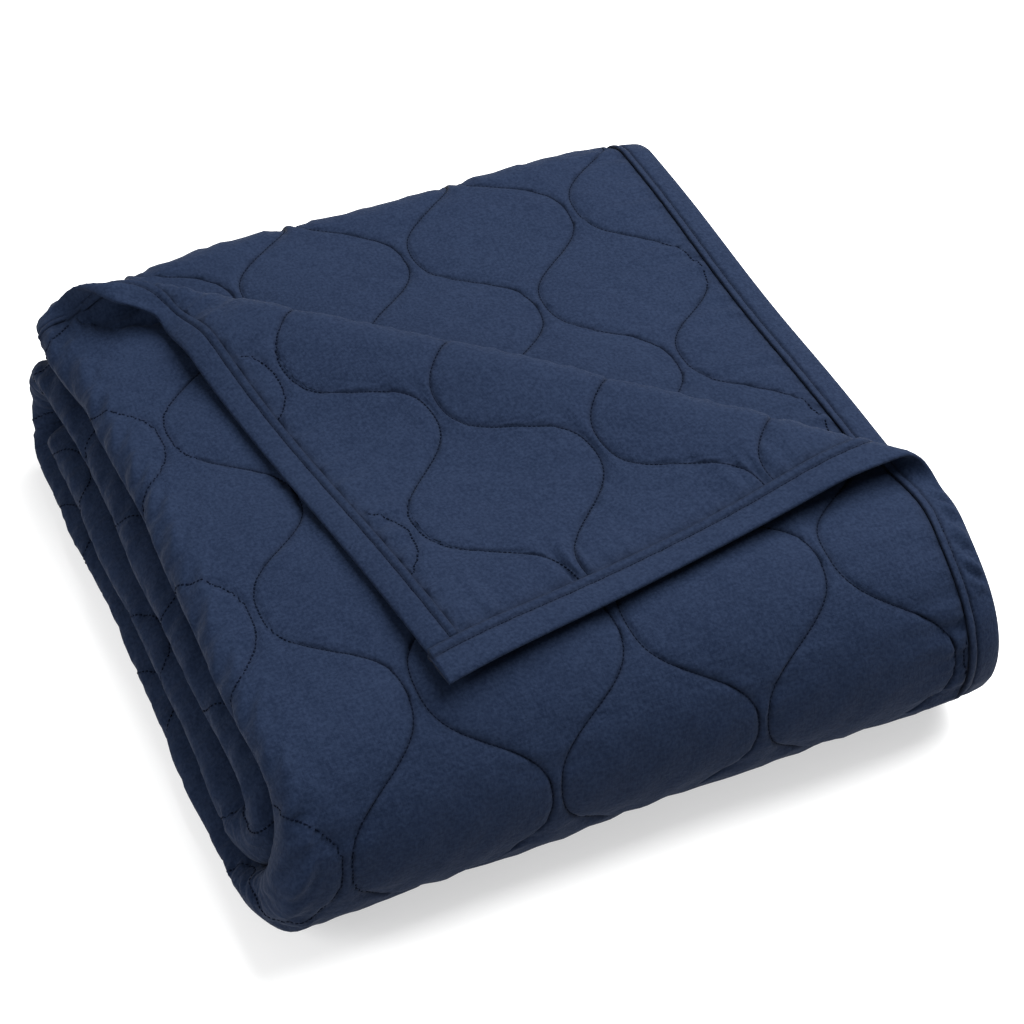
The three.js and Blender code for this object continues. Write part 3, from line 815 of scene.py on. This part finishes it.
def lineColumns(pattern, v, low, high):
    steps = clothMesh["lineSteps"]
    columns = []
    for j in linesBetween(pattern, low, high):
        near, far = linePlace(pattern, j, v), linePlace(pattern, j + 1, v)
        for step in range(steps):
            share = float(gathered(step / steps))
            s = near + (far - near) * share
            u = pattern["start"] + (j + share) * pattern["pitch"]
            if min(s, u) > low and max(s, u) < high:
                columns.append((s, u))
    return columns


def evenColumns(low, high, gap):
    count = max(1, round((high - low) / gap))
    return [(low + (high - low) * i / count,) * 2 for i in range(count + 1)]


def coarseColumns(low, high):
    return evenColumns(low, high, clothMesh["coarse"])


def filled(columns, rollS):
    columns = sorted(set(columns), key=lambda column: column[1])
    whole = [columns[0]]
    for s, u in columns[1:]:
        lastS, lastU = whole[-1]
        rolled = rollS - clothMesh["rollReach"] < s < rollS + clothMesh["rollGap"]
        gap = clothMesh["rollGap"] if rolled else clothMesh["widest"]
        extra = int(abs(s - lastS) / gap)
        for i in range(1, extra + 1):
            share = i / (extra + 1)
            whole.append((lastS + (s - lastS) * share, lastU + (u - lastU) * share))
        if u - whole[-1][1] > clothMesh["closest"][0]:
            whole.append((s, u))
    return whole


def bandColumns():
    return [(s, s) for s in clothMesh["bandColumns"] + clothMesh["seamColumns"]]


def innerColumns():  # folds and plies behind the outer one
    columns = []
    for part in section[2:-1]:
        high = part["start"] + part["length"]
        gap = part["length"] / clothMesh["foldSteps"] if part["sweep"] else clothMesh["coarse"]
        columns += evenColumns(part["start"], high, gap)
    return columns + [(slantEndS, slantEndS)]


def secondPly(w, fine):
    start, outerEnd = partStart["ply2"], totalS - bandEnd
    band = [(totalS - s, totalS - u) for s, u in bandColumns()]
    if not fine:
        return coarseColumns(start, outerEnd) + band
    shown = max(start, totalS - (edgeX - rollStart(w, 1)))
    gap = clothMesh["lineGap"]
    lines = lineColumns(quilting["second"], w, shown + gap, outerEnd - gap)
    return coarseColumns(start, shown) + filled([(shown, shown), *lines, (outerEnd, outerEnd)], 0) + band


def firstPly(w, side):
    m = clothMesh
    v = float(rowPlace(np.array(0.0), np.array(w)))
    rollS = edgeX - rollStart(v, 1)
    panelStart, edgeStart, leftEnd = foldS - m["leftReach"], foldS - m["foldLead"], foldEndS + m["foldTail"]
    edge = evenColumns(edgeStart, leftEnd, m["foldGap"])
    low, high = m["backShown"]
    atBack = legStart["backFold"] + low < w < legStart["bottomLayer"] + high
    if side > 0 and (atBack or w > shownV):
        low = bandEnd if v < curlV else max(bandEnd, rollS - m["rollBehind"])
        hidden = evenColumns(bandEnd, low, m["coarse"] / 2) if low > bandEnd else []
        lines = lineColumns(quilting["outer"], v, low + m["lineGap"], panelStart)
        panel = evenColumns(panelStart, edgeStart, m["foldGap"])
        return hidden + filled([(low, low), *lines, *panel, *edge], rollS)
    if side > 0:
        return coarseColumns(bandEnd, panelStart) + filled([(panelStart, panelStart), *edge], 0)
    fold = evenColumns(foldS, leftEnd, (leftEnd - foldS) / m["foldSteps"])
    besideFold, besideBand = m["flapRoom"]
    high = min(rollS + m["rollAhead"], foldS - besideFold)
    if v < curlV - m["curlLead"][0] or high < bandEnd + besideBand:
        return coarseColumns(bandEnd, foldS) + fold
    flap = filled(evenColumns(bandEnd, high, m["flapGap"]), rollS)
    return flap + coarseColumns(high, foldS) + fold


def ringColumns(w, side):
    fine = side < 0 and w > curlV - clothMesh["curlLead"][1]
    columns = bandColumns() + firstPly(w, side) + innerColumns() + secondPly(w, fine)
    columns = sorted(columns, key=lambda column: column[1])
    kept = [columns[0]]
    for column in columns[1:]:
        if column[1] - kept[-1][1] > clothMesh["closest"][1]:
            kept.append(column)
    kept[-1] = (totalS, totalS)
    return kept


def evenly(low, high, step):
    return np.linspace(low, high, round((high - low) / step), endpoint=False)


def ringRows():
    m = clothMesh
    slantV = m["slantV"]
    rows = [
        evenly(firstV, shownV, m["hiddenRowStep"]),
        evenly(shownV, slantV, m["rowStep"]),
        np.linspace(slantV, lastV, round((lastV - slantV) / m["endRowStep"]) + 1),
    ]
    seam = turned["endV"] - np.array(m["seamColumns"]) - slantV
    rows.append(slantV + seam * (lastV - slantV) / (turned["endV"] - slantV))
    return np.unique(np.concatenate(rows))


def clothFaces(rings):
    faces = []
    for near, far in zip(rings[:-1], rings[1:]):
        faces += bridge(*near[1], *far[1])
        faces += [face[::-1] for face in bridge(*near[-1], *far[-1])]
        for end in (0, -1):
            quad = (near[1][0][end], far[1][0][end], far[-1][0][end], near[-1][0][end])
            faces.append(quad if end else quad[::-1])
    faces += bridge(*rings[0][-1], *rings[0][1])
    faces += bridge(*rings[-1][1], *rings[-1][-1])
    return faces


def weaveCloth():
    rings, points = [], []
    for w in ringRows():
        ring = {}
        for side in (1, -1):
            columns = ringColumns(w, side)
            ring[side] = (range(len(points), len(points) + len(columns)), [u for s, u in columns])
            points += [(s, w, side) for s, u in columns]
        rings.append(ring)
    s, w, side = np.array(points, float).T
    v = rowPlace(s, w)
    v = np.where((s < foldS) & (side < 0), flapRows(s, v), v)
    piece = newPiece("bedspread_cloth", surface(s, v, side), clothFaces(rings), quiltedNavy)
    seam = quilting["seam"]
    toSeam = np.abs(edgeDistance(s, v) - seam)
    # distance to the nearest stitched line or seam, which places the painted shade and the small puckers
    toStitch = np.minimum(lineDistance(s, v), quilting["seamSlope"] * toSeam)
    foldGap = np.abs(s - (foldS + foldEndS) / 2) - clothMesh["foldPleats"]
    sideGap = np.maximum(np.minimum(sideDistance(s) - seam, foldGap), 0)
    endGap = np.maximum(endAt(s) - v - seam, 0)
    layFlat(piece.data, s, v, stitchDistance=toStitch, sideGap=sideGap, endGap=endGap)
    return piece


def layFlat(mesh, s, v, **distances):  # flat place of every point, in metres, and distances for the finish
    for name, distance in distances.items():
        attribute = mesh.attributes.new(name, "FLOAT", "POINT")
        attribute.data.foreach_set("value", (distance * mm).astype(np.float32))
    corners = np.empty(len(mesh.loops), np.int32)
    mesh.loops.foreach_get("vertex_index", corners)
    flat = np.stack([s[corners], v[corners]], axis=-1) * mm
    flatMap = mesh.uv_layers.new(name="flatCloth")
    flatMap.data.foreach_set("uv", flat.astype(np.float32).ravel())


cloth = weaveCloth()
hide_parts("quilted_cloth")
print("cloth ready")


# Bindings: folded strips over the edges, lofted from one profile

groove = (18.7, 2.4)  # of the topstitching: inward from the cloth's edge and off the ply's middle
binding = {
    "width": 25.0,
    "profile": (  # the strip's upper side, from its inner edge
        (25.0, 1.7), (25.5, 2.9), (25.3, 4.3), (24.4, 5.1), (22.0, 4.9), (19.6, 3.9), groove,
        (17.8, 3.5), (16.0, 4.0), (14.0, 4.0), (12.0, 3.9), (9.0, 3.6), (6.0, 3.3), (4.0, 3.0),
        (2.0, 2.6), (-0.6, 1.9), (-1.7, 1.1), (-2.0, 0.0),
    ),
    "inside": ((1.2, 0.0), (2.2, 1.1), (12.0, 1.6)),
    "step": 5.0,
    "fineStep": 2.2,
    "plainStep": 15.0,  # along the end that hangs at the back
    "plainGap": (12.0, 4.0),  # from the slant to its first stop, and to any stop
    "slantStops": 31,
    "foldStops": 9,
    "shutStep": 0.4,
    "pucker": 0.3,
    "puckerHeight": 1.65,  # the inside lies below this
    "innerFade": (6.0, 0.15),  # reach and least share at the inner edge
    "outerFade": (4.0, 0.6, 0.3),  # reach, share and least share at the outer edge
    "puckerSlant": 0.15,
    "puckerDrift": (0.4, 0.02),
    "crease": 2.6,  # soft slanting creases at the turned corner
    "creasePitch": 20.0,
    "creaseSlant": 0.9,
    "creaseDrift": 3.7,
    "creaseFrom": (-80.0, 24.0),
    "creaseFade": (25.0, 20.0),
    "creaseBand": ((-1.0, 4.0), (10.0, 16.0)),  # where they rise and fall across the strip
    "butt": 25.6,  # where one binding stops at another
    "noSeam": 500.0,  # far enough from a seam for no pleats
}


def mirrored(points):
    return [(inward, -b) for inward, b in reversed(points)]


def bindingProfile():
    upper, inside = list(binding["profile"]), list(binding["inside"])
    return np.array(upper + mirrored(upper[:-1]) + mirrored(inside[1:]) + inside)


def bindingPuckers(inward, height, gone):
    t = binding
    reach, least = t["innerFade"]
    free = np.clip((t["width"] - inward) / reach, least, 1) * (np.abs(height) > t["puckerHeight"])
    reach, share, least = t["outerFade"]
    free = free * np.clip(inward / reach + share, least, 1)
    start, slope = t["puckerDrift"]
    folds = ripple(gone[:, None] + t["puckerSlant"] * inward, start + slope * inward)
    return np.sign(height) * free * t["pucker"] * folds


def bindingCreases(s, v, inward, height):
    t = binding
    (near, far), (rise, fall) = t["creaseFrom"], t["creaseFade"]
    creased = between(v, (near, near + rise), (far - fall, far)) * between(inward, *t["creaseBand"])
    slanting = 2 * math.pi * (v - t["creaseSlant"] * inward) / t["creasePitch"]
    waves = np.sin(slanting + np.sin(slanting / t["creaseDrift"]))
    return creased * (s < quilting["seam"]) * (height > 0) * t["crease"] * waves


def lengthAlong(points):
    return np.concatenate([[0], np.cumsum(np.linalg.norm(np.diff(points, axis=0), axis=1))])


def bindEdge(name, stops, closed=0):  # each stop: s, v and the flat direction into the cloth
    profile = bindingProfile()
    stops = np.asarray(stops, float)
    inward, height = np.broadcast_to(profile.T[:, None], (2, len(stops), len(profile))).copy()
    inside = len(profile) - 2 * len(binding["inside"]) + 1
    shut = slice(len(stops) - closed, None)
    height[shut, inside:] = 0
    inward[shut, inside:] = binding["width"]
    height[shut, [0, inside - 1]] = 0
    s = stops[:, None, 0] + inward * stops[:, None, 2]
    v = stops[:, None, 1] + inward * stops[:, None, 3]
    b = height + bindingPuckers(inward, height, lengthAlong(stops[:, :2]))
    points = place(s, v, b + bindingCreases(s, v, inward, height))
    index = np.arange(s.size).reshape(s.shape)
    ahead = np.roll(index, -1, axis=1)
    quads = np.stack([index[:-1], ahead[:-1], ahead[1:], index[1:]], axis=-1).reshape(-1, 4)
    faces = [tuple(quad) for quad in quads] + [tuple(index[0][::-1]), tuple(index[-1])]
    piece = newPiece(name, points.reshape(-1, 3), faces, bindingNavy)
    # distance to the topstitch groove and to the seam, where the finish paints shade
    toStitch = np.minimum(np.abs(inward - groove[0]), np.abs(inward - quilting["seam"]))
    noSeam = np.full(s.size, binding["noSeam"])
    layFlat(piece.data, s.ravel(), v.ravel(), stitchDistance=toStitch.ravel(), sideGap=noSeam, endGap=noSeam)
    return piece


def sideStops(edgeS, inS, high):  # folded shut at the last two
    near, far = binding["creaseFrom"]
    step, fineStep = binding["step"], binding["fineStep"]
    legs = [evenly(firstV, near, step), evenly(near, far, fineStep), evenly(far, high, step)]
    last = [high, high + binding["shutStep"], high + stack["bindingLip"]]
    return [(edgeS, v, inS, 0.0) for v in np.concatenate([*legs, last])]


def endStops():  # along the bound end, mitred where it slants round the left fold
    low, high = binding["butt"], totalS - binding["butt"]
    slant = math.atan2(lastV - turned["endV"], slantEndS - slantS)
    stops = [(s, turned["endV"], 0.0, -1.0) for s in np.arange(low, slantS - 1, binding["step"])]
    for share in np.linspace(0, 1, binding["slantStops"]):
        s = slantS + share * (slantEndS - slantS)
        mitre = share in (0.0, 1.0)
        angle = slant / 2 if mitre else slant
        stretch = 1 / math.cos(slant / 2) if mitre else 1.0
        stops.append((s, float(endAt(s)), stretch * math.sin(angle), -stretch * math.cos(angle)))
    firstGap, leastGap = binding["plainGap"]
    plain = [np.arange(slantEndS + firstGap, high, binding["plainStep"]), [high]]
    for part in section[2:-1]:
        count = binding["foldStops"] if part["sweep"] else 2
        plain.append(part["start"] + part["length"] * np.linspace(0, 1, count))
    plain = np.unique(np.concatenate(plain).round(2))
    return stops + [(s, lastV, 0.0, -1.0) for s in plain if s > slantEndS + leastGap]


bindings = [
    bindEdge("side_binding_on_top_ply", sideStops(0.0, 1.0, turned["endV"]), 2),
    bindEdge("side_binding_on_second_ply", sideStops(totalS, -1.0, lastV), 2),
    bindEdge("end_binding_strip", endStops()),
]
for piece, node in zip(bindings, ("side_binding_outer", "side_binding_second", "end_binding")):
    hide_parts(node)
print("bindings ready")


# Stitches, each a short raised loop of thread

stitching = {
    "pitch": 3.5,
    "length": 2.8,
    "width": 0.7,
    "height": 0.45,
    "sunk": 0.15,  # ends go into the cloth
    "arch": ((0, -1), (0.2, 0.6), (0.5, 1), (0.8, 0.6), (1, -1)),  # along a stitch, and how far out it is
    "traceStep": 1.5,
    "fewestPoints": 3,
    "seamGap": 1.0,
    "lead": 40.0,  # how far stitching carries on before what shows
    "secondLead": 60.0,
    "past": 10.0,  # and past it
    "underFlap": 30.0,
    "offFloor": 4.0,
}


def facesOf(pieces):
    points, faces = [], []
    for piece in pieces:
        first = len(points)
        points += [vertex.co for vertex in piece.data.vertices]
        faces += [[first + i for i in polygon.vertices] for polygon in piece.data.polygons]
    return BVHTree.FromPolygons(points, faces)


def sewn(trace, ground):  # points along every stitch on a trace of s, v, side and height
    s, v, side, b = trace

    def lay(s, v, proud):
        return surface(s, v, side, proud) if b is None else place(s, v, side * (b + proud))

    gone = lengthAlong(lay(s, v, 0)) / mm
    count = int((gone[-1] - stitching["length"]) / stitching["pitch"])
    if count < 1:
        return []
    start = np.arange(count) * stitching["pitch"]
    rungs = []
    for share, raised in stitching["arch"]:
        at = start + share * stitching["length"]
        proud = stitching["height"] * raised / 2 if raised > 0 else -stitching["sunk"]
        ringS, ringV = np.interp(at, gone, s), np.interp(at, gone, v)
        low, high = lay(ringS, ringV, 0), lay(ringS, ringV, 1)
        hits = [ground.find_nearest(point)[:2] for point in low]
        up = np.array([hit[1] for hit in hits])
        up *= np.sign(np.sum(up * (high - low), axis=1, keepdims=True))
        rungs.append((np.array([hit[0] for hit in hits]) + up * proud * mm, up))
    return rungs


def unit(vectors):
    return vectors / np.linalg.norm(vectors, axis=1, keepdims=True)


def stitchMesh(rungs):
    start, end = rungs[0][0], rungs[-1][0]
    ahead = unit(end - start)
    rings = [start[:, None]]
    for middle, up in rungs[1:-1]:
        up = unit(up)
        across = np.cross(ahead, up) * stitching["width"] * mm
        up = up * stitching["height"] * mm
        rings.append(np.stack([middle + up, middle + across, middle - up, middle - across], axis=1))
    return np.concatenate([*rings, end[:, None]], axis=1)


def stitchFaces():  # a point, three rings of four and a point
    faces = []
    for k in range(4):
        turn = (k + 1) % 4
        faces.append((0, 1 + k, 1 + turn))
        faces += [(ring + k, ring + 4 + k, ring + 4 + turn, ring + turn) for ring in (1, 5)]
        faces.append((13, 9 + turn, 9 + k))
    return faces


def layStitches(name, traces, pieces):
    stitches = []
    ground = facesOf(pieces)
    for trace in traces:
        rungs = sewn(trace, ground)
        if rungs:
            stitches.append(stitchMesh(rungs))
    points = np.concatenate(stitches)
    count, each = points.shape[:2]
    pattern = stitchFaces()
    faces = [tuple(i * each + corner for corner in face) for i in range(count) for face in pattern]
    return newPiece(name, points.reshape(-1, 3), faces, navyThread)


def unbroken(keep):  # runs of a trace that show
    edges = np.flatnonzero(np.diff(np.concatenate([[0], keep.astype(int), [0]])))
    runs = zip(edges[::2], edges[1::2])
    return [slice(low, high) for low, high in runs if high - low > stitching["fewestPoints"]]


def lineTraces(pattern, along, low, high, side, keep, swapped=False):
    traces = []
    seam = quilting["seam"] + stitching["seamGap"]
    for j in linesBetween(pattern, low, high):
        across = linePlace(pattern, j, along)
        s, v = (along, across) if swapped else (across, along)
        inside = (across > low) & (across < high) & (edgeDistance(s, v) > seam)
        traces += [(s[run], v[run], side, None) for run in unbroken(inside & keep(s, v))]
    return traces


def quiltingTraces():
    step, lead, past = (stitching[key] for key in ("traceStep", "lead", "past"))
    back = np.arange(legStart["backFold"] - lead, legStart["bottomLayer"] - past, step)
    front = np.arange(frontV, turned["endV"], step)
    acrossFlap = np.arange(0, foldS, step)
    second = np.arange(curlV - lead, lastV, step)
    layers = np.arange(firstV, frontV, step)

    def unturned(s, v):
        return ~inFlap(s, v)

    def besideBack(s, v):  # the left folds of the lower layers, where the back traces stop
        return ((v < back[0]) | (v > back[-1])) & (surface(s, v, 1)[..., 2] > stitching["offFloor"] * mm)

    def uncovered(s, v):
        return secondPast(s, v) > -stitching["underFlap"]

    traces = lineTraces(quilting["outer"], back, 0, foldEndS, 1, unturned)
    traces += lineTraces(quilting["outer"], front, 0, foldEndS, 1, unturned)
    traces += lineTraces(quilting["outer"], layers, foldS - past, foldEndS, 1, besideBack)
    traces += lineTraces(quilting["flap"], acrossFlap, 0, turned["endV"], -1, inFlap, True)
    traces += lineTraces(quilting["second"], second, partStart["ply2"], totalS, -1, uncovered)
    return traces


def bindingTraces():
    step, lead, past = (stitching[key] for key in ("traceStep", "lead", "past"))
    inward, height = groove
    end, butt = turned["endV"], binding["butt"]
    front = np.arange(legStart["backFold"] - lead, curlV + past, step)
    flap = np.arange(curlV - lead, end, step)
    second = np.arange(curlV - stitching["secondLead"], lastV, step)
    acrossEnd = np.arange(butt, foldS, step)
    hanging = np.arange(partStart["ply2"] + past, totalS - butt, step)
    traces = [
        (inward, front, 1),
        (inward, flap, -1),
        (totalS - inward, second, -1),
        (acrossEnd, end - inward, -1),
        (hanging, lastV - inward, -1),
    ]
    return [(*spread(s, v), side, height) for s, v, side in traces]


stitches = [
    layStitches("quilting_stitches", quiltingTraces(), [cloth]),
    layStitches("binding_stitches", bindingTraces(), bindings),
]
print("stitches ready")


# Camera at the photograph's angle

view = {
    "target": (0.0, 0.107, 0.070),
    "azimuth": -22.56,
    "elevation": 41.27,
    "distance": 2.124,
    "lens": 92.0,
    "sensor": 36.0,
    "shift": (0.091, -0.088),
}


def aim(thing, target):
    thing.rotation_euler = (Vector(target) - thing.location).to_track_quat("-Z", "Y").to_euler()


def makeCamera():
    camera = put("camera", bpy.data.cameras.new("camera"))
    az, el = math.radians(view["azimuth"]), math.radians(view["elevation"])
    away = Vector((math.sin(az) * math.cos(el), -math.cos(az) * math.cos(el), math.sin(el)))
    camera.location = Vector(view["target"]) + away * view["distance"]
    aim(camera, view["target"])
    camera.data.lens = view["lens"]
    camera.data.sensor_width = view["sensor"]
    camera.data.shift_x, camera.data.shift_y = view["shift"]
    bpy.context.scene.camera = camera


makeCamera()


# Pale floor and soft studio light

studio = {
    "floorSize": 14.0,
    "floorColour": (0.5, 0.5, 0.5),
    "floorGlow": 0.53,  # lit from below, so that shadows on it stay pale
    "floorRoughness": 0.8,
    "floorSpecular": 0.1,
    "cloud": (3.0, 0.03),  # scale and strength of its faint unevenness
    "white": (1.0, 1.0, 1.0),
    "skyStrength": 0.45,
    "lampTarget": (0.0, 0.0, 0.08),
    "lamps": (  # place, size, watts
        ("key_lamp", (1.0, 0.3, 2.0), 2.2, 176.0),
        ("side_lamp", (-1.8, -0.4, 1.1), 0.8, 23.0),
    ),
}


def makeStudio():
    size, white = studio["floorSize"], studio["white"]
    mesh = bpy.data.meshes.new("floor")
    corners = [(x * size, y * size, 0) for x, y in ((-1, -1), (1, -1), (1, 1), (-1, 1))]
    mesh.from_pydata(corners, [], [(0, 1, 2, 3)])
    floor = put("floor", mesh)
    finish = Finish("pale_floor", {
        "Roughness": studio["floorRoughness"],
        "Specular IOR Level": studio["floorSpecular"],
        "Emission Color": (*white, 1),
        "Emission Strength": studio["floorGlow"],
    })
    scale, strength = studio["cloud"]
    cloud = finish.noise(finish.position(), scale) * strength
    finish.set("Base Color", finish.mix(cloud, studio["floorColour"], white))
    mesh.materials.append(finish.material)
    world = bpy.data.worlds.new("studio")
    bpy.context.scene.world = world
    world.use_nodes = True
    background = world.node_tree.nodes["Background"]
    background.inputs["Color"].default_value = (*white, 1)
    background.inputs["Strength"].default_value = studio["skyStrength"]
    for name, spot, width, watts in studio["lamps"]:
        lamp = put(name, bpy.data.lights.new(name, "AREA"))
        lamp.data.size, lamp.data.energy = width, watts
        lamp.location = spot
        aim(lamp, studio["lampTarget"])


makeStudio()
bpy.context.scene.view_settings.view_transform = "Standard"
print("studio ready")
